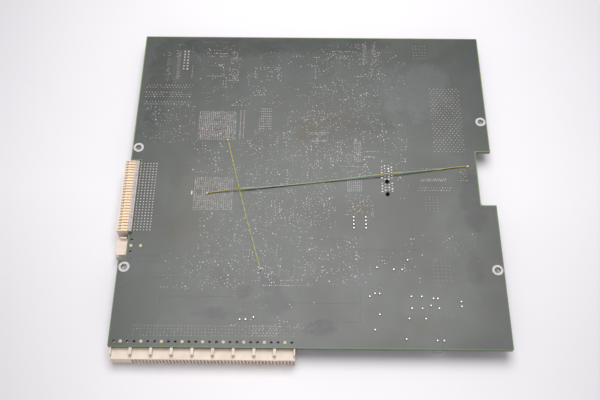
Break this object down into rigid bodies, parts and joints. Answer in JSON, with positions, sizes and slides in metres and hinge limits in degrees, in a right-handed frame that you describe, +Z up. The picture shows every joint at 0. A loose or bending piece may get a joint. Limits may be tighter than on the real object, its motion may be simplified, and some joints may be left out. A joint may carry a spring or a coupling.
{
  "type": "rfi filter board",
  "caption": "Large plug-in circuit board lying solder side up on its right-angle connectors, with a side signal connector, mounting eyelets, a right edge notch and two twisted repair wires",
  "frame": {"origin": "middle of the bounding box, on the surface that the board's connectors stand on", "axes": "+X to the right along the front connectors' edge, +Y from that edge to the rear edge, +Z up out of the solder side"},
  "size_m": [0.2392, 0.2354, 0.0148],
  "materials": {
    "laminate": "semi-matt grey-green solder mask on glass-epoxy laminate",
    "beige_plastic": "matt moulded liquid-crystal polymer",
    "black_plastic": "matt moulded epoxy or nylon",
    "dark_wafer": "matt moulded wafer",
    "tin": "bright tin plate and solder",
    "gold": "gold-plated spring contacts",
    "copper": "enamelled copper winding",
    "ferrite": "coated ferrite ring",
    "sheet_metal": "tinned steel sheet",
    "can_metal": "drawn aluminium can",
    "carrier": "laminate package carrier",
    "film_case": "moulded film capacitor case",
    "ceramic": "dipped or sintered ceramic",
    "wire": "green and yellow twisted insulation"
  },
  "bodies": {
    "root": {"circuit_board": "laminate", "mounting_eyelets": "tin", "signal_housing": "beige_plastic", "signal_wafers": "dark_wafer", "signal_stiffener": "sheet_metal", "signal_shield_fingers": "gold", "signal_tails": "tin", "side_power_housing": "beige_plastic", "side_power_contacts": "gold", "front_power_housing": "beige_plastic", "front_power_contacts": "gold", "front_housing_left": "beige_plastic", "front_housing_right": "beige_plastic", "stacking_header": "black_plastic", "stacking_pins": "tin", "inline_package": "black_plastic", "inline_leads": "tin", "inline_joints": "tin", "header_shroud": "black_plastic", "header_pins": "gold", "header_pin_ends": "tin", "array_carriers": "carrier", "array_caps": "black_plastic", "small_array_package": "black_plastic", "moulded_packages": "black_plastic", "surface_mount_leads": "tin", "chip_capacitors": "ceramic", "chip_resistors": "black_plastic", "film_capacitors": "film_case", "electrolytic_capacitors": "can_metal", "disc_capacitors": "ceramic", "filter_bead": "ferrite", "test_posts": "tin", "voltage_reference": "black_plastic", "choke_core": "ferrite", "choke_windings": "copper", "choke_carrier": "black_plastic", "power_transistors": "black_plastic", "transistor_tabs": "tin", "shield_can": "sheet_metal", "power_joints": "tin", "repair_wire_long": "wire", "repair_wire_short": "wire", "repair_wire_joints": "tin"}
  },
  "joints": []
}
